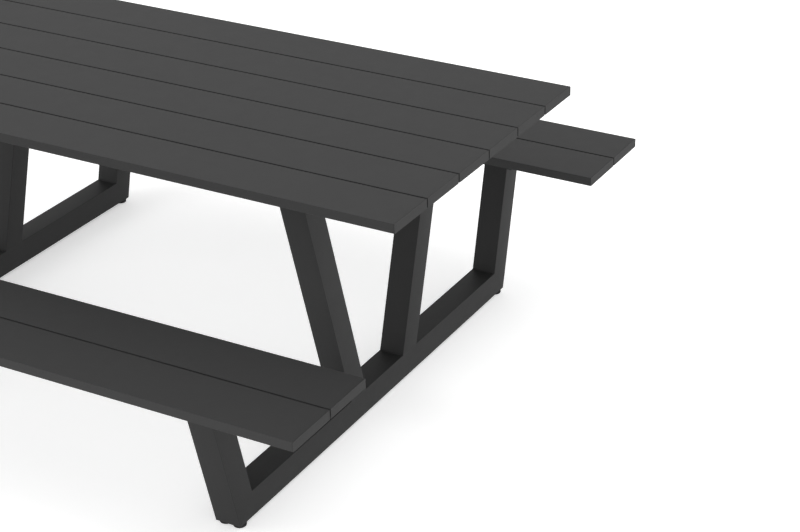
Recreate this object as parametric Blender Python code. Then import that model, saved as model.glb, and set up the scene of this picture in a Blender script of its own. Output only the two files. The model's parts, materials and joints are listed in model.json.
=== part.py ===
"""Picnic table: a slatted top and two slatted benches carried by two welded trestles of square tube.

Metres, +Z up, the planks run along X. The origin is on the ground under the middle of the table.
"""

import math

import bpy
from mathutils import Vector
from mathutils.geometry import tessellate_polygon

# Overall sizes
LENGTH = 2.000  # tip to tip along the planks
TABLE_TOP = 0.768  # ground to the upper surface of the table
SEAT_TOP = 0.453  # ground to the upper surface of a bench
OVERHANG = 0.304  # from the planks' end to the outer face of the trestle
GAP = 0.0003  # clearance left between two pieces that touch

# Planks: hollow aluminium extrusions with three cells
PLANK_WIDTH = 0.146
PLANK_THICK = 0.024
PLANK_SPACE = 0.005
PLANK_RADIUS = 0.0008
PLANK_WALL = 0.0025
PLANK_RIB = 0.0025
PLANK_CELLS = 3
TABLE_PLANKS = 6
BENCH_PLANKS = 2
BENCH_INNER = 0.5925  # from the centre plane to the inner edge of a bench

# Caps that close the plank ends
CAP_THICK = 0.0030
CAP_TONGUE = 0.012
CAP_SLACK = 0.0005

# Trestles: square steel tube
TUBE = 0.070
TUBE_WALL = 0.003
TUBE_RADIUS = 0.0012
TUBE_RADIUS_IN = 0.0006
CORNER_STEPS = 3
FOOT_HEIGHT = 0.010
BENCH_LEG_SLOPE = 0.250  # outward travel for each metre of height
BENCH_LEG_FOOT = 0.674  # outer bottom corner of the beam, from the centre plane
TABLE_LEG_SLOPE = 0.2865
TABLE_LEG_INNER = 0.0746  # inner edge of a table leg carried down to the beam's underside

# Flat bars between the legs and the planks
BAR_WIDTH = 0.190
BAR_THICK = 0.008
BAR_RADIUS = 0.0010
BENCH_BAR_INNER = 0.0115  # set back from the bench's inner edge
BENCH_BAR_OUTER = 0.020  # set back from the bench's outer edge
TABLE_BAR_REACH = 0.430  # half length of the bar under the table

# Glide pads under the beams
PAD_RADIUS = 0.0165
PAD_CHAMFER = 0.0015
PAD_STEPS = 40
PAD_SPACING = 0.038
PAD_INSET = 0.020  # pad centre from the beam's outer bottom corner

MATERIALS = {
    "plank_paint": ((0.066, 0.067, 0.070, 1.0), 0.0, 0.50),
    "frame_paint": ((0.058, 0.059, 0.062, 1.0), 0.0, 0.52),
    "cap_plastic": ((0.064, 0.065, 0.068, 1.0), 0.0, 0.55),
    "foot_plastic": ((0.020, 0.020, 0.021, 1.0), 0.0, 0.60),
}


def clear_scene():
    for obj in list(bpy.data.objects):
        bpy.data.objects.remove(obj, do_unlink=True)


def make_material(name):
    color, metallic, roughness = MATERIALS[name]
    material = bpy.data.materials.new(name)
    material.use_nodes = True
    shader = material.node_tree.nodes["Principled BSDF"]
    shader.inputs["Base Color"].default_value = color
    shader.inputs["Metallic"].default_value = metallic
    shader.inputs["Roughness"].default_value = roughness
    material.diffuse_color = color
    return material


def add_node(name, points, faces, material, smooth=False):
    """Adds one closed body and turns its faces outwards."""
    mesh = bpy.data.meshes.new(name)
    mesh.from_pydata([tuple(point) for point in points], [], faces)
    mesh.update()
    obj = bpy.data.objects.new(name, mesh)
    bpy.context.scene.collection.objects.link(obj)
    bpy.context.view_layer.objects.active = obj
    obj.select_set(True)
    bpy.ops.object.mode_set(mode="EDIT")
    bpy.ops.mesh.select_all(action="SELECT")
    bpy.ops.mesh.normals_make_consistent(inside=False)
    bpy.ops.object.mode_set(mode="OBJECT")
    obj.select_set(False)
    mesh.materials.append(material)
    if smooth:
        mesh.shade_smooth()
        mesh.set_sharp_from_angle(angle=math.radians(35))
    return obj


def rounded_rectangle(width, height, radius, steps):
    """Counter-clockwise outline about the origin, steps + 1 points to a corner."""
    outline = []
    for index, (sign_u, sign_v) in enumerate(((1, 1), (-1, 1), (-1, -1), (1, -1))):
        for step in range(steps + 1):
            angle = math.radians(90 * index + 90 * step / steps)
            u = sign_u * (width / 2 - radius) + radius * math.cos(angle)
            v = sign_v * (height / 2 - radius) + radius * math.sin(angle)
            outline.append((u, v))
    return outline


def ring_faces(start, end, count):
    return [
        (start + i, start + (i + 1) % count, end + (i + 1) % count, end + i)
        for i in range(count)
    ]


def add_tube(name, origin, axis, plane_a, plane_b, material):
    """Square tube in a trestle's plane: its axis lies in YZ and each end is cut by a plane (point, normal)."""
    axis = Vector(axis).normalized()
    across = Vector((0.0, -axis.z, axis.y))
    outer = rounded_rectangle(TUBE, TUBE, TUBE_RADIUS, CORNER_STEPS)
    bore = TUBE - 2 * TUBE_WALL
    inner = rounded_rectangle(bore, bore, TUBE_RADIUS_IN, CORNER_STEPS)
    points = []
    for outline in (outer, inner):
        for point, normal in (plane_a, plane_b):
            for u, v in outline:
                base = Vector(origin) + Vector((u, 0, 0)) + across * v
                reach = (Vector(point) - base).dot(Vector(normal)) / axis.dot(Vector(normal))
                points.append(base + axis * reach)
    count = len(outer)
    outer_a, outer_b, inner_a, inner_b = (count * i for i in range(4))
    faces = ring_faces(outer_a, outer_b, count) + ring_faces(inner_a, inner_b, count)
    faces += ring_faces(outer_a, inner_a, count) + ring_faces(outer_b, inner_b, count)
    return add_node(name, points, faces, material, smooth=True)


def cell_outlines(slack):
    """Outlines of the plank's cells in the cross-section, made smaller by the slack on every side."""
    inside = PLANK_WIDTH - 2 * PLANK_WALL
    cell = (inside - (PLANK_CELLS - 1) * PLANK_RIB) / PLANK_CELLS
    half_height = PLANK_THICK / 2 - PLANK_WALL - slack
    outlines = []
    for index in range(PLANK_CELLS):
        middle = -inside / 2 + cell / 2 + index * (cell + PLANK_RIB)
        half = cell / 2 - slack
        outlines.append([
            (middle - half, -half_height), (middle + half, -half_height),
            (middle + half, half_height), (middle - half, half_height),
        ])
    return outlines


def flat_region(outlines, x, centre, first):
    """Triangles that fill the first outline less the others, in a plane of constant X."""
    rings = [[Vector((v, w, 0.0)) for v, w in outline] for outline in outlines]
    points = [(x, centre[0] + v, centre[1] + w) for outline in outlines for v, w in outline]
    triangles = [tuple(first + i for i in t) for t in tessellate_polygon(rings)]
    return points, triangles


def add_plank(name, centre, material):
    """Hollow plank open at both ends; centre is (y, z)."""
    outlines = [rounded_rectangle(PLANK_WIDTH, PLANK_THICK, PLANK_RADIUS, CORNER_STEPS)]
    outlines += cell_outlines(0.0)
    half = LENGTH / 2 - CAP_THICK - GAP
    points, faces = flat_region(outlines, -half, centre, 0)
    total = len(points)
    end_points, end_faces = flat_region(outlines, half, centre, total)
    points += end_points
    faces += end_faces
    first = 0
    for outline in outlines:
        faces += ring_faces(first, total + first, len(outline))
        first += len(outline)
    return add_node(name, points, faces, material)


def add_cap(name, centre, side, material):
    """Cap on one plank end, with a tongue for each cell; side is +1 or -1 along X."""
    outline = rounded_rectangle(PLANK_WIDTH, PLANK_THICK, PLANK_RADIUS, CORNER_STEPS)
    tongues = cell_outlines(CAP_SLACK)
    face_x = side * LENGTH / 2
    back_x = side * (LENGTH / 2 - CAP_THICK)
    points, faces = flat_region([outline], face_x, centre, 0)
    back_first = len(points)
    back_points, back_faces = flat_region([outline] + tongues, back_x, centre, back_first)
    points += back_points
    faces += back_faces
    faces += ring_faces(0, back_first, len(outline))
    ring_first = back_first + len(outline)
    for tongue in tongues:
        tip_first = len(points)
        points += [(back_x - side * CAP_TONGUE, centre[0] + v, centre[1] + w) for v, w in tongue]
        faces += ring_faces(ring_first, tip_first, len(tongue))
        faces.append(tuple(range(tip_first, tip_first + len(tongue))))
        ring_first += len(tongue)
    return add_node(name, points, faces, material)


def add_bar(name, x, y_from, y_to, z_low, material):
    """Flat bar along Y with its four long edges eased."""
    outline = rounded_rectangle(BAR_WIDTH, BAR_THICK, BAR_RADIUS, CORNER_STEPS)
    count = len(outline)
    points = []
    for y in (y_from, y_to):
        points += [(x + u, y, z_low + BAR_THICK / 2 + v) for u, v in outline]
    faces = ring_faces(0, count, count)
    faces += [tuple(range(count)), tuple(range(count, 2 * count))]
    return add_node(name, points, faces, material)


def add_pad(name, x, y, material):
    """Round glide pad standing on the ground."""
    profile = (
        (PAD_RADIUS - PAD_CHAMFER, 0.0),
        (PAD_RADIUS, PAD_CHAMFER),
        (PAD_RADIUS, FOOT_HEIGHT - GAP),
    )
    points = []
    for radius, z in profile:
        for step in range(PAD_STEPS):
            angle = 2 * math.pi * step / PAD_STEPS
            points.append((x + radius * math.cos(angle), y + radius * math.sin(angle), z))
    faces = ring_faces(0, PAD_STEPS, PAD_STEPS)
    faces += ring_faces(PAD_STEPS, 2 * PAD_STEPS, PAD_STEPS)
    faces += [tuple(range(PAD_STEPS)), tuple(range(2 * PAD_STEPS, 3 * PAD_STEPS))]
    return add_node(name, points, faces, material, smooth=True)


def add_trestle(end, side, frame, plastic):
    """One welded trestle: beam, two table legs, two bench legs, bars and pads; side is +1 or -1 along X."""
    x = side * (LENGTH / 2 - OVERHANG - TUBE / 2)
    beam_low = FOOT_HEIGHT
    beam_high = FOOT_HEIGHT + TUBE
    leg_span = TUBE * math.hypot(1.0, BENCH_LEG_SLOPE)
    table_span = TUBE * math.hypot(1.0, TABLE_LEG_SLOPE)
    corner_out = Vector((x, BENCH_LEG_FOOT, beam_low))
    corner_in = Vector((x, BENCH_LEG_FOOT - leg_span + BENCH_LEG_SLOPE * TUBE, beam_high))
    cut = (corner_in - corner_out).normalized()
    seat_low = SEAT_TOP - PLANK_THICK
    table_low = TABLE_TOP - PLANK_THICK
    mitres = {}
    for hand in (1, -1):
        normal = Vector((0.0, hand * cut.z, -cut.y))
        point = Vector((x, hand * corner_out.y, corner_out.z))
        mitres[hand] = (point, normal)
    shifted = {
        (hand, way): (mitres[hand][0] + mitres[hand][1] * way * GAP / 2, mitres[hand][1])
        for hand in (1, -1) for way in (1, -1)
    }
    middle = (x, 0.0, beam_low + TUBE / 2)
    add_tube(end + "_bottom_beam", middle, (0, 1, 0), shifted[-1, -1], shifted[1, -1], frame)
    for hand, label in ((-1, "near"), (1, "far")):
        level = Vector((0.0, 0.0, 1.0))
        # bench leg, from the mitre up to its bar
        start = (x, hand * (BENCH_LEG_FOOT - leg_span / 2), beam_low)
        top = (Vector((x, 0.0, seat_low - BAR_THICK - 2 * GAP)), level)
        axis = (0.0, hand * BENCH_LEG_SLOPE, 1.0)
        add_tube(f"{end}_{label}_bench_leg", start, axis, shifted[hand, 1], top, frame)
        # table leg, standing on the beam
        start = (x, hand * (TABLE_LEG_INNER + table_span / 2), beam_low)
        foot = (Vector((x, 0.0, beam_high + GAP)), level)
        top = (Vector((x, 0.0, table_low - BAR_THICK - 2 * GAP)), level)
        axis = (0.0, hand * TABLE_LEG_SLOPE, 1.0)
        add_tube(f"{end}_{label}_table_leg", start, axis, foot, top, frame)
        # bar that carries the bench planks
        bench_outer = BENCH_INNER + BENCH_PLANKS * (PLANK_WIDTH + PLANK_SPACE) - PLANK_SPACE
        ends = sorted((hand * (BENCH_INNER + BENCH_BAR_INNER), hand * (bench_outer - BENCH_BAR_OUTER)))
        add_bar(f"{end}_{label}_bench_bar", x, ends[0], ends[1], seat_low - BAR_THICK - GAP, frame)
        # pads side by side under the end of the beam
        for number in (1, 2):
            offset = (number - 1.5) * PAD_SPACING
            pad_y = hand * (BENCH_LEG_FOOT - PAD_INSET)
            add_pad(f"{end}_{label}_pad_{number}", x + side * offset, pad_y, plastic)
    add_bar(end + "_table_bar", x, -TABLE_BAR_REACH, TABLE_BAR_REACH, table_low - BAR_THICK - GAP, frame)


def add_deck(label, first_y, count, top, plank, cap):
    """Planks side by side from first_y towards +Y, each with a cap on both ends."""
    for number in range(count):
        y = first_y + PLANK_WIDTH / 2 + number * (PLANK_WIDTH + PLANK_SPACE)
        centre = (y, top - PLANK_THICK / 2)
        add_plank(f"{label}_plank_{number + 1}", centre, plank)
        for side, end in ((-1, "left"), (1, "right")):
            add_cap(f"{label}_cap_{end}_{number + 1}", centre, side, cap)


def main():
    clear_scene()
    materials = {name: make_material(name) for name in MATERIALS}
    plank = materials["plank_paint"]
    cap = materials["cap_plastic"]
    frame = materials["frame_paint"]
    table_width = TABLE_PLANKS * (PLANK_WIDTH + PLANK_SPACE) - PLANK_SPACE
    bench_width = BENCH_PLANKS * (PLANK_WIDTH + PLANK_SPACE) - PLANK_SPACE
    add_deck("table", -table_width / 2, TABLE_PLANKS, TABLE_TOP, plank, cap)
    add_deck("near_bench", -BENCH_INNER - bench_width, BENCH_PLANKS, SEAT_TOP, plank, cap)
    add_deck("far_bench", BENCH_INNER, BENCH_PLANKS, SEAT_TOP, plank, cap)
    for side, end in ((-1, "left"), (1, "right")):
        add_trestle(end, side, frame, materials["foot_plastic"])


main()
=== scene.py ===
"""Looks of the picnic table: powder-coated planks and trestles, welds, screws and glide pads.

The table stands on a pale studio floor.
"""

import json
import math

import bmesh
import bpy
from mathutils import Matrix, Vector


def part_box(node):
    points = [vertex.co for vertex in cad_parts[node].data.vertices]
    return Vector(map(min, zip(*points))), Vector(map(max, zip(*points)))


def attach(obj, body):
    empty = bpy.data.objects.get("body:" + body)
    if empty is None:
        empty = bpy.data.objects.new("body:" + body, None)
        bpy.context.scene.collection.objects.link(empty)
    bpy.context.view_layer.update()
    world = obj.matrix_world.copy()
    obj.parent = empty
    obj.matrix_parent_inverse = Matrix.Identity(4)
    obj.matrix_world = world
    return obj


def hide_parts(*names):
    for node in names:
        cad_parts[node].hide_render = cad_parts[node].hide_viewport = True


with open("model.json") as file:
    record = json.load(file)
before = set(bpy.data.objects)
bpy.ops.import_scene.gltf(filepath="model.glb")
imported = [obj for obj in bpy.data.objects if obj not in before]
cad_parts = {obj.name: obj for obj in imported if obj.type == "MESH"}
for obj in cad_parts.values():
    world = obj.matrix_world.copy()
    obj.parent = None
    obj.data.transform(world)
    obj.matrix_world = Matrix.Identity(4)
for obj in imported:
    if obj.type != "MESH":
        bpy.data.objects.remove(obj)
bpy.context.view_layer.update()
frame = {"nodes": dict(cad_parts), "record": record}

# Camera, in the row frame
CAMERA_PLACE = (2.96066, -3.78956, 2.65639)
CAMERA_PITCH = -0.475422
CAMERA_YAW = 0.477214
CAMERA_LENS = 88.6736
CAMERA_SHIFT_X = -0.112132
CAMERA_CLIP_END = 200.0
SENSOR_WIDTH = 36.0

# Trestles, in metres
TRESTLE_X = 0.661
TUBE = 0.070
TUBE_RADIUS = 0.0012
TUBE_RADIUS_IN = 0.0006
TUBE_WALL = 0.003
TUBE_STEPS = 8
BEAM_LOW = 0.010
BEAM_HIGH = 0.080
BENCH_LEG_SLOPE = 0.250
BENCH_LEG_FOOT = 0.674
TABLE_LEG_SLOPE = 0.2865
TABLE_LEG_INNER = 0.0746
BENCH_SPAN = TUBE * math.hypot(1.0, BENCH_LEG_SLOPE)
TABLE_SPAN = TUBE * math.hypot(1.0, TABLE_LEG_SLOPE)
SEAM = 0.00005  # gap kept between faces that touch: tube to tube, tube to plate, washer to plate
TUBE_SMOOTH = 30.0  # degrees: sharper edges than this are shaded as creases

# Seam of a table leg, ground flush with the side of the beam
DRESSED_SECTIONS = 24
DRESSED_INSET = 0.001  # from the leg's face to the seam's end
DRESSED_PROFILE = (  # (depth behind the beam's side, height above its top)
    (0.0030, -0.0002), (0.0012, -0.0014), (0.00004, -0.0044), (-0.00006, -0.0034),
    (-0.00010, -0.0016), (-0.00010, 0.0004), (-0.00006, 0.0016), (0.00004, 0.0024),
)

# Welds
WELD_LEG = 0.0022
WELD_BULGE = 0.16
WELD_PITCH = 0.0018
WELD_RIPPLE = 0.035
WELD_CUT = 3  # sections to one ripple
WELD_SECTIONS_LEAST = 8
WELD_SINK = 0.0004  # how far a bead's root lies inside the metal
WELD_ARC = 4  # straight runs across the bulge of a bead
WELD_END = 0.35  # size of a bead at its very end, against its full size
WELD_TAPER = 0.004  # length over which it would grow by one full size
WELD_SMOOTH = 60.0

# Screws under the mounting plates: (radius, height) from the plate outwards
SCREW_OFFSET = 0.075
SCREW_STEPS = 24
PLANK_CONTACT = 0.002  # a plank rests on a plate when their faces are this close
WASHER = ((0.0062, 0.0), (0.0065, 0.0003), (0.0065, 0.0010), (0.0062, 0.0013), (0.0052, 0.0013))
HEAD = ((0.00520, 0.0019), (0.00500, 0.0026), (0.00445, 0.0033), (0.00360, 0.0038), (0.00285, 0.0040))
SOCKET = 0.0020  # across the flats, halved
SOCKET_DEPTH = 0.0018

# Glide pads: (radius, height above the floor)
PAD_STEPS = 64
PAD_SMOOTH = 40.0
PAD_PROFILE = ((0.0118, 0.0000), (0.0136, 0.0002), (0.0150, 0.0008), (0.0159, 0.0018), (0.0164, 0.0031),
               (0.0165, 0.0045), (0.0165, 0.0084), (0.0162, 0.0092), (0.0155, 0.0096), (0.0120, 0.0097))

# Powder coat and moulded grain: noise scales are per metre
TEXTURE_LOW = 0.3
TEXTURE_HIGH = 0.7
BROAD_SCALE = 4.0
BROAD_CHANGE = 0.008
SPECKLE_TO_GRAIN = 1.3
SPECKLE_CHANGE = 0.10
PATCH_SCALE = 28.0
PATCH_CHANGE = 0.015
GRAIN_SMOOTHNESS = 0.6
GRAIN_STRENGTH = 0.5
PEEL_SCALE = 160.0
PEEL_STRENGTH = 0.2

# Stage
FLOOR_TONE = 0.84
FLOOR_TONE_CHANGE = 0.003
FLOOR_CLOUD_SCALE = 0.8
FLOOR_ROUGHNESS = 0.9
FLOOR_GLOW = 0.455
FLOOR_RADIUS = 40.0
FLOOR_SINK = 0.0002  # keeps the pads clear of the floor
FLOOR_SIDES = 96
WORLD_LEVEL = 1.135
LIGHTS = {
    # name: (place, aim, width, height, watts)
    "left_front": ((-5.0, -4.5, 2.4), (0.0, 0.0, 0.4), 3.0, 3.0, 85.0),
}

ENDS = ((-1, "left"), (1, "right"))
HANDS = ((-1, "near"), (1, "far"))


# ---------------------------------------------------------------- materials

def link(tree, source, output, target, name):
    tree.links.new(source.outputs[output], target.inputs[name])


def add_noise(tree, coords, scale, detail, roughness=0.5):
    noise = tree.nodes.new("ShaderNodeTexNoise")
    noise.inputs["Scale"].default_value = scale
    noise.inputs["Detail"].default_value = detail
    noise.inputs["Roughness"].default_value = roughness
    link(tree, coords, "Object", noise, "Vector")
    return noise


def add_range(tree, source, output, low, high):
    """Maps the usual span of a texture onto low to high."""
    mapped = tree.nodes.new("ShaderNodeMapRange")
    mapped.inputs["From Min"].default_value = TEXTURE_LOW
    mapped.inputs["From Max"].default_value = TEXTURE_HIGH
    mapped.inputs["To Min"].default_value = low
    mapped.inputs["To Max"].default_value = high
    link(tree, source, output, mapped, "Value")
    return mapped


def powder_coat(name, color, roughness, grain, relief, specular):
    """Fine textured powder coat: sub-millimetre grain, faint thickness variation, soft sheen."""
    material = bpy.data.materials.new(name)
    material.use_nodes = True
    tree = material.node_tree
    shader = tree.nodes["Principled BSDF"]
    shader.inputs["Metallic"].default_value = 0.0
    shader.inputs["Specular IOR Level"].default_value = specular
    coords = tree.nodes.new("ShaderNodeTexCoord")

    # colour: broad thickness variation and a fine speckle between the grains
    broad = add_noise(tree, coords, BROAD_SCALE, 3.0)
    speckle = add_noise(tree, coords, grain * SPECKLE_TO_GRAIN, 2.0)
    broad_gain = add_range(tree, broad, "Fac", 1.0 - BROAD_CHANGE, 1.0 + BROAD_CHANGE)
    speckle_gain = add_range(tree, speckle, "Fac", 1.0 - SPECKLE_CHANGE, 1.0 + SPECKLE_CHANGE)
    gain = tree.nodes.new("ShaderNodeMath")
    gain.operation = "MULTIPLY"
    link(tree, broad_gain, "Result", gain, 0)
    link(tree, speckle_gain, "Result", gain, 1)
    tint = tree.nodes.new("ShaderNodeVectorMath")
    tint.operation = "SCALE"
    tint.inputs[0].default_value = color
    link(tree, gain, "Value", tint, "Scale")
    link(tree, tint, "Vector", shader, "Base Color")

    # roughness: soft patches where the coat flowed out more
    patches = add_noise(tree, coords, PATCH_SCALE, 4.0, 0.6)
    rough = add_range(tree, patches, "Fac", roughness - PATCH_CHANGE, roughness + PATCH_CHANGE)
    link(tree, rough, "Result", shader, "Roughness")

    # relief: the grain itself over a shallow orange peel
    grains = tree.nodes.new("ShaderNodeTexVoronoi")
    grains.feature = "SMOOTH_F1"
    grains.inputs["Scale"].default_value = grain
    grains.inputs["Smoothness"].default_value = GRAIN_SMOOTHNESS
    link(tree, coords, "Object", grains, "Vector")
    peel = add_noise(tree, coords, PEEL_SCALE, 2.0)
    fine = tree.nodes.new("ShaderNodeBump")
    fine.inputs["Strength"].default_value = GRAIN_STRENGTH
    fine.inputs["Distance"].default_value = relief
    fine.invert = True
    link(tree, grains, "Distance", fine, "Height")
    soft = tree.nodes.new("ShaderNodeBump")
    soft.inputs["Strength"].default_value = PEEL_STRENGTH
    soft.inputs["Distance"].default_value = relief
    link(tree, peel, "Fac", soft, "Height")
    link(tree, fine, "Normal", soft, "Normal")
    link(tree, soft, "Normal", shader, "Normal")
    return material


def floor_finish():
    material = bpy.data.materials.new("pale_floor")
    material.use_nodes = True
    tree = material.node_tree
    shader = tree.nodes["Principled BSDF"]
    coords = tree.nodes.new("ShaderNodeTexCoord")
    cloud = add_noise(tree, coords, FLOOR_CLOUD_SCALE, 2.0)
    level = add_range(tree, cloud, "Fac", FLOOR_TONE - FLOOR_TONE_CHANGE, FLOOR_TONE + FLOOR_TONE_CHANGE)
    link(tree, level, "Result", shader, "Base Color")
    shader.inputs["Roughness"].default_value = FLOOR_ROUGHNESS
    shader.inputs["Specular IOR Level"].default_value = 0.0
    shader.inputs["Emission Color"].default_value = (1.0, 1.0, 1.0, 1.0)
    shader.inputs["Emission Strength"].default_value = FLOOR_GLOW
    return material


# ---------------------------------------------------------------- pieces

def add_piece(name, points, faces, slot, smooth_angle=35.0, stands_for=()):
    """A new piece of closed bodies in mesh code, with the finish of a material slot."""
    mesh = bpy.data.meshes.new(name)
    mesh.from_pydata([tuple(point) for point in points], [], faces)
    body = bmesh.new()
    body.from_mesh(mesh)
    bmesh.ops.recalc_face_normals(body, faces=body.faces)
    body.to_mesh(mesh)
    body.free()
    mesh.shade_smooth()
    mesh.set_sharp_from_angle(angle=math.radians(smooth_angle))
    mesh.materials.append(FINISHES[slot])
    piece = bpy.data.objects.new(name, mesh)
    bpy.context.scene.collection.objects.link(piece)
    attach(piece, "root")
    if stands_for:
        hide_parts(*stands_for)


def ring_faces(start, end, count):
    return [
        (start + i, start + (i + 1) % count, end + (i + 1) % count, end + i)
        for i in range(count)
    ]


def add_sweep(points, faces, rings):
    """Appends a closed body through a row of rings that have the same number of points."""
    first = len(points)
    count = len(rings[0])
    last = first + count * (len(rings) - 1)
    for ring in rings:
        points += ring
    for start in range(first, last, count):
        faces += ring_faces(start, start + count, count)
    faces += [tuple(range(first, first + count)), tuple(range(last, last + count))]


def rounded_square(width, radius, steps):
    outline = []
    for index, (sign_u, sign_v) in enumerate(((1, 1), (-1, 1), (-1, -1), (1, -1))):
        for step in range(steps + 1):
            angle = math.radians(90 * index + 90 * step / steps)
            u = sign_u * (width / 2 - radius) + radius * math.cos(angle)
            v = sign_v * (width / 2 - radius) + radius * math.sin(angle)
            outline.append((u, v))
    return outline


def add_tube(name, origin, axis, plane_a, plane_b):
    """Hollow square tube whose axis lies in YZ, each end cut by a plane (point, normal)."""
    axis = Vector(axis).normalized()
    across = Vector((0.0, -axis.z, axis.y))
    outer = rounded_square(TUBE, TUBE_RADIUS, TUBE_STEPS)
    inner = rounded_square(TUBE - 2 * TUBE_WALL, TUBE_RADIUS_IN, TUBE_STEPS)
    points = []
    for outline in (outer, inner):
        for point, normal in (plane_a, plane_b):
            for u, v in outline:
                base = Vector(origin) + Vector((u, 0, 0)) + across * v
                reach = (Vector(point) - base).dot(Vector(normal)) / axis.dot(Vector(normal))
                points.append(base + axis * reach)
    count = len(outer)
    outer_a, outer_b, inner_a, inner_b = (count * i for i in range(4))
    faces = ring_faces(outer_a, outer_b, count) + ring_faces(inner_a, inner_b, count)
    faces += ring_faces(outer_a, inner_a, count) + ring_faces(outer_b, inner_b, count)
    add_piece(name + "_tube", points, faces, "frame_paint", TUBE_SMOOTH, (name,))


def add_bead(points, faces, start, end, way_a, way_b):
    """Appends a rippled fillet bead along an inside corner that opens towards way_a and way_b."""
    start, end, way_a, way_b = (Vector(v) for v in (start, end, way_a, way_b))
    way_a.normalize()
    way_b.normalize()
    length = (end - start).length
    count = max(WELD_SECTIONS_LEAST, round(length / WELD_PITCH) * WELD_CUT)
    root = (way_a + way_b) * -WELD_SINK
    outwards = (way_a + way_b).normalized()
    rings = []
    for step in range(count + 1):
        share = step / count
        distance = share * length
        taper = min(1.0, WELD_END + min(distance, length - distance) / WELD_TAPER)
        ripple = 1.0 + WELD_RIPPLE * math.sin(2 * math.pi * step / WELD_CUT)
        size = WELD_LEG * taper * ripple
        corner = start + (end - start) * share
        ring = [corner + root]
        for run in range(WELD_ARC + 1):
            part = run / WELD_ARC
            swell = WELD_BULGE * size * 4 * part * (1 - part)
            ring.append(corner + way_a * size * (1 - part) + way_b * size * part + outwards * swell)
        rings.append(ring)
    add_sweep(points, faces, rings)


def add_dressed_seam(points, faces, start, end, face_x, side):
    """Appends a seam ground flush with the side of a beam: it fills the rounding below a leg."""
    start, end = Vector(start), Vector(end)
    rings = []
    for step in range(DRESSED_SECTIONS + 1):
        corner = start + (end - start) * (step / DRESSED_SECTIONS)
        rings.append([
            Vector((face_x - side * depth, corner.y, corner.z + height))
            for depth, height in DRESSED_PROFILE
        ])
    add_sweep(points, faces, rings)


def bench_leg_y(z, face):
    """Distance from the centre plane of a bench leg's outer (+1) or inner (-1) face at a height."""
    outer = BENCH_LEG_FOOT + BENCH_LEG_SLOPE * (z - BEAM_LOW)
    return outer if face > 0 else outer - BENCH_SPAN


def table_leg_y(z, face):
    inner = TABLE_LEG_INNER + TABLE_LEG_SLOPE * (z - BEAM_LOW)
    return inner + TABLE_SPAN if face > 0 else inner


def add_top_welds(points, faces, x, hand, leg_y, slope, z):
    """Fillets round the top of a leg, against the underside of its plate."""
    half = TUBE / 2 - TUBE_RADIUS
    down = (0.0, -hand * slope, -1.0)
    for face in (-1, 1):
        y = hand * leg_y(z, face)
        add_bead(points, faces, (x - half, y, z), (x + half, y, z), (0, hand * face, 0), down)
        edge = x + face * TUBE / 2
        y_from = hand * (leg_y(z, -1) + TUBE_RADIUS)
        y_to = hand * (leg_y(z, 1) - TUBE_RADIUS)
        add_bead(points, faces, (edge, y_from, z), (edge, y_to, z), (face, 0, 0), down)


def add_trestle_tubes(side, end):
    x = side * TRESTLE_X
    level = (0.0, 0.0, 1.0)
    cut = Vector((0.0, bench_leg_y(BEAM_HIGH, -1) - BENCH_LEG_FOOT, BEAM_HIGH - BEAM_LOW)).normalized()
    mitres = {
        (hand, way): (
            Vector((x, hand * BENCH_LEG_FOOT, BEAM_LOW)) + Vector((0, hand * cut.z, -cut.y)) * way * SEAM / 2,
            (0.0, hand * cut.z, -cut.y),
        )
        for hand in (-1, 1) for way in (-1, 1)
    }
    middle = (x, 0, (BEAM_LOW + BEAM_HIGH) / 2)
    add_tube(end + "_bottom_beam", middle, (0, 1, 0), mitres[-1, -1], mitres[1, -1])
    for hand, label in HANDS:
        name = f"{end}_{label}"
        bench_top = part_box(name + "_bench_bar")[0][2]
        table_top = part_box(end + "_table_bar")[0][2]
        start = (x, hand * (BENCH_LEG_FOOT - BENCH_SPAN / 2), BEAM_LOW)
        top = ((x, 0, bench_top - SEAM), level)
        add_tube(name + "_bench_leg", start, (0, hand * BENCH_LEG_SLOPE, 1), mitres[hand, 1], top)
        start = (x, hand * (TABLE_LEG_INNER + TABLE_SPAN / 2), BEAM_LOW)
        foot = ((x, 0, BEAM_HIGH + SEAM), level)
        top = ((x, 0, table_top - SEAM), level)
        add_tube(name + "_table_leg", start, (0, hand * TABLE_LEG_SLOPE, 1), foot, top)
        add_leg_welds(name, x, hand, bench_top, table_top)


def add_leg_welds(name, x, hand, bench_top, table_top):
    half = TUBE / 2 - TUBE_RADIUS
    # table leg: its foot on the beam, its top against the plate
    points, faces = [], []
    up = (0.0, hand * TABLE_LEG_SLOPE, 1.0)
    for face in (-1, 1):
        y = hand * table_leg_y(BEAM_HIGH, face)
        add_bead(points, faces, (x - half, y, BEAM_HIGH), (x + half, y, BEAM_HIGH), (0, hand * face, 0), up)
        edge = x + face * TUBE / 2
        y_from = hand * (table_leg_y(BEAM_HIGH, -1) + DRESSED_INSET)
        y_to = hand * (table_leg_y(BEAM_HIGH, 1) - DRESSED_INSET)
        add_dressed_seam(points, faces, (edge, y_from, BEAM_HIGH), (edge, y_to, BEAM_HIGH), edge, face)
    add_top_welds(points, faces, x, hand, table_leg_y, TABLE_LEG_SLOPE, table_top)
    add_piece(name + "_table_leg_weld", points, faces, "frame_paint", WELD_SMOOTH)
    # bench leg: the inside of the mitre, its top against the plate
    points, faces = [], []
    up = (0.0, hand * BENCH_LEG_SLOPE, 1.0)
    y = hand * bench_leg_y(BEAM_HIGH, -1)
    add_bead(points, faces, (x - half, y, BEAM_HIGH), (x + half, y, BEAM_HIGH), (0, -hand, 0), up)
    add_top_welds(points, faces, x, hand, bench_leg_y, BENCH_LEG_SLOPE, bench_top)
    add_piece(name + "_bench_leg_weld", points, faces, "frame_paint", WELD_SMOOTH)


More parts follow.
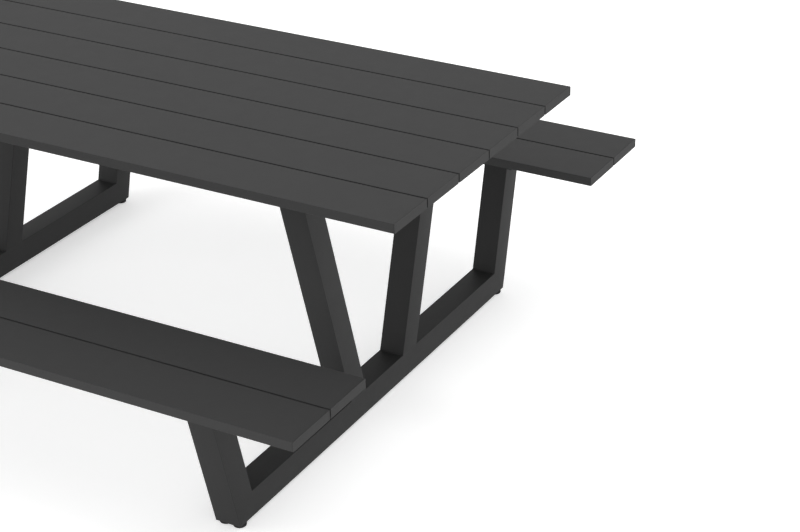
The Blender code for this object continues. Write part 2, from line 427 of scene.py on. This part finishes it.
def screw_rings(x, y, z):
    """Rings of a washer and a button-head screw that hang under z, from the plate to the socket's floor."""
    turns = [2 * math.pi * i / SCREW_STEPS for i in range(SCREW_STEPS)]

    def ring(radius, height):
        return [Vector((x + radius * math.cos(t), y + radius * math.sin(t), z - height)) for t in turns]

    def hexagon(height):
        flat = math.pi / 3
        reach = [SOCKET / math.cos((t + flat / 2) % flat - flat / 2) for t in turns]
        return [Vector((x + r * math.cos(t), y + r * math.sin(t), z - height)) for r, t in zip(reach, turns)]

    top = HEAD[-1][1]
    rings = [ring(radius, height) for radius, height in WASHER + HEAD]
    return rings + [hexagon(top), hexagon(top - SOCKET_DEPTH)]


def add_screws(bar):
    """Two screws to each plank that crosses a mounting plate."""
    low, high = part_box(bar)
    x = (low[0] + high[0]) / 2
    points, faces = [], []
    for plank in sorted(frame["nodes"]):
        if "plank" not in plank:
            continue
        plank_low, plank_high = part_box(plank)
        y = (plank_low[1] + plank_high[1]) / 2
        if not (low[1] < y < high[1] and abs(plank_low[2] - high[2]) < PLANK_CONTACT):
            continue
        for offset in (-SCREW_OFFSET, SCREW_OFFSET):
            add_sweep(points, faces, screw_rings(x + offset, y, low[2] - SEAM))
    add_piece(bar.replace("bar", "screws"), points, faces, "frame_paint")


def add_pad(node):
    low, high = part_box(node)
    x, y = (low[0] + high[0]) / 2, (low[1] + high[1]) / 2
    turns = [2 * math.pi * i / PAD_STEPS for i in range(PAD_STEPS)]
    rings = [
        [Vector((x + radius * math.cos(t), y + radius * math.sin(t), low[2] + height)) for t in turns]
        for radius, height in PAD_PROFILE
    ]
    points, faces = [], []
    add_sweep(points, faces, rings)
    add_piece(node + "_glide", points, faces, "foot_plastic", PAD_SMOOTH, (node,))


# ---------------------------------------------------------------- stage

def add_light(name, place, aim, width, height, watts):
    data = bpy.data.lights.new(name, "AREA")
    data.shape = "RECTANGLE"
    data.size = width
    data.size_y = height
    data.energy = watts
    light = bpy.data.objects.new(name, data)
    light.location = place
    light.rotation_euler = (Vector(aim) - Vector(place)).to_track_quat("-Z", "Y").to_euler()
    bpy.context.scene.collection.objects.link(light)


def add_camera(scene):
    data = bpy.data.cameras.new("camera")
    data.sensor_width = SENSOR_WIDTH
    data.lens = CAMERA_LENS
    data.shift_x = CAMERA_SHIFT_X
    data.clip_end = CAMERA_CLIP_END
    camera = bpy.data.objects.new("camera", data)
    camera.location = CAMERA_PLACE
    camera.rotation_euler = (math.pi / 2 + CAMERA_PITCH, 0.0, CAMERA_YAW)
    scene.collection.objects.link(camera)
    scene.camera = camera


def add_floor(scene):
    points = []
    for i in range(FLOOR_SIDES):
        turn = 2 * math.pi * i / FLOOR_SIDES
        points.append((FLOOR_RADIUS * math.cos(turn), FLOOR_RADIUS * math.sin(turn), -FLOOR_SINK))
    mesh = bpy.data.meshes.new("floor")
    mesh.from_pydata(points, [], [tuple(range(FLOOR_SIDES))])
    floor = bpy.data.objects.new("floor", mesh)
    scene.collection.objects.link(floor)
    mesh.materials.append(floor_finish())


def build_stage():
    scene = bpy.context.scene
    scene.view_settings.view_transform = "Standard"
    add_camera(scene)
    world = bpy.data.worlds.new("studio")
    world.use_nodes = True
    background = world.node_tree.nodes["Background"]
    background.inputs["Color"].default_value = (1.0, 1.0, 1.0, 1.0)
    background.inputs["Strength"].default_value = WORLD_LEVEL
    scene.world = world
    for name, values in LIGHTS.items():
        add_light(name, *values)
    add_floor(scene)


def coat_nodes():
    """Gives every CAD node the finish of its material slot."""
    slot_of = {entry["node"]: entry["material_slot"] for entry in frame["record"]["subparts"]}
    for name, obj in frame["nodes"].items():
        for slot in obj.material_slots:
            slot.material = FINISHES[slot_of[name]]


FINISHES = {
    "plank_paint": powder_coat("plank_coat", (0.0328, 0.0328, 0.0328), 0.62, 2200.0, 0.00003, 0.15),
    "frame_paint": powder_coat("frame_coat", (0.0205, 0.0205, 0.0205), 0.57, 2000.0, 0.00003, 0.15),
    # cap_plastic: the plank coat on the plank ends, with its colour darkened about 9% as painted shade on
    # these end faces
    "cap_plastic": powder_coat("cap_coat_painted_shade", (0.0300, 0.0300, 0.0300), 0.62, 1500.0, 0.00004, 0.15),
    "foot_plastic": powder_coat("foot_grain", (0.0130, 0.0130, 0.0132), 0.60, 1200.0, 0.00005, 0.15),
}

build_stage()
coat_nodes()
for side, end in ENDS:
    add_trestle_tubes(side, end)
    add_screws(end + "_table_bar")
    for _, label in HANDS:
        add_screws(f"{end}_{label}_bench_bar")
        for number in (1, 2):
            add_pad(f"{end}_{label}_pad_{number}")
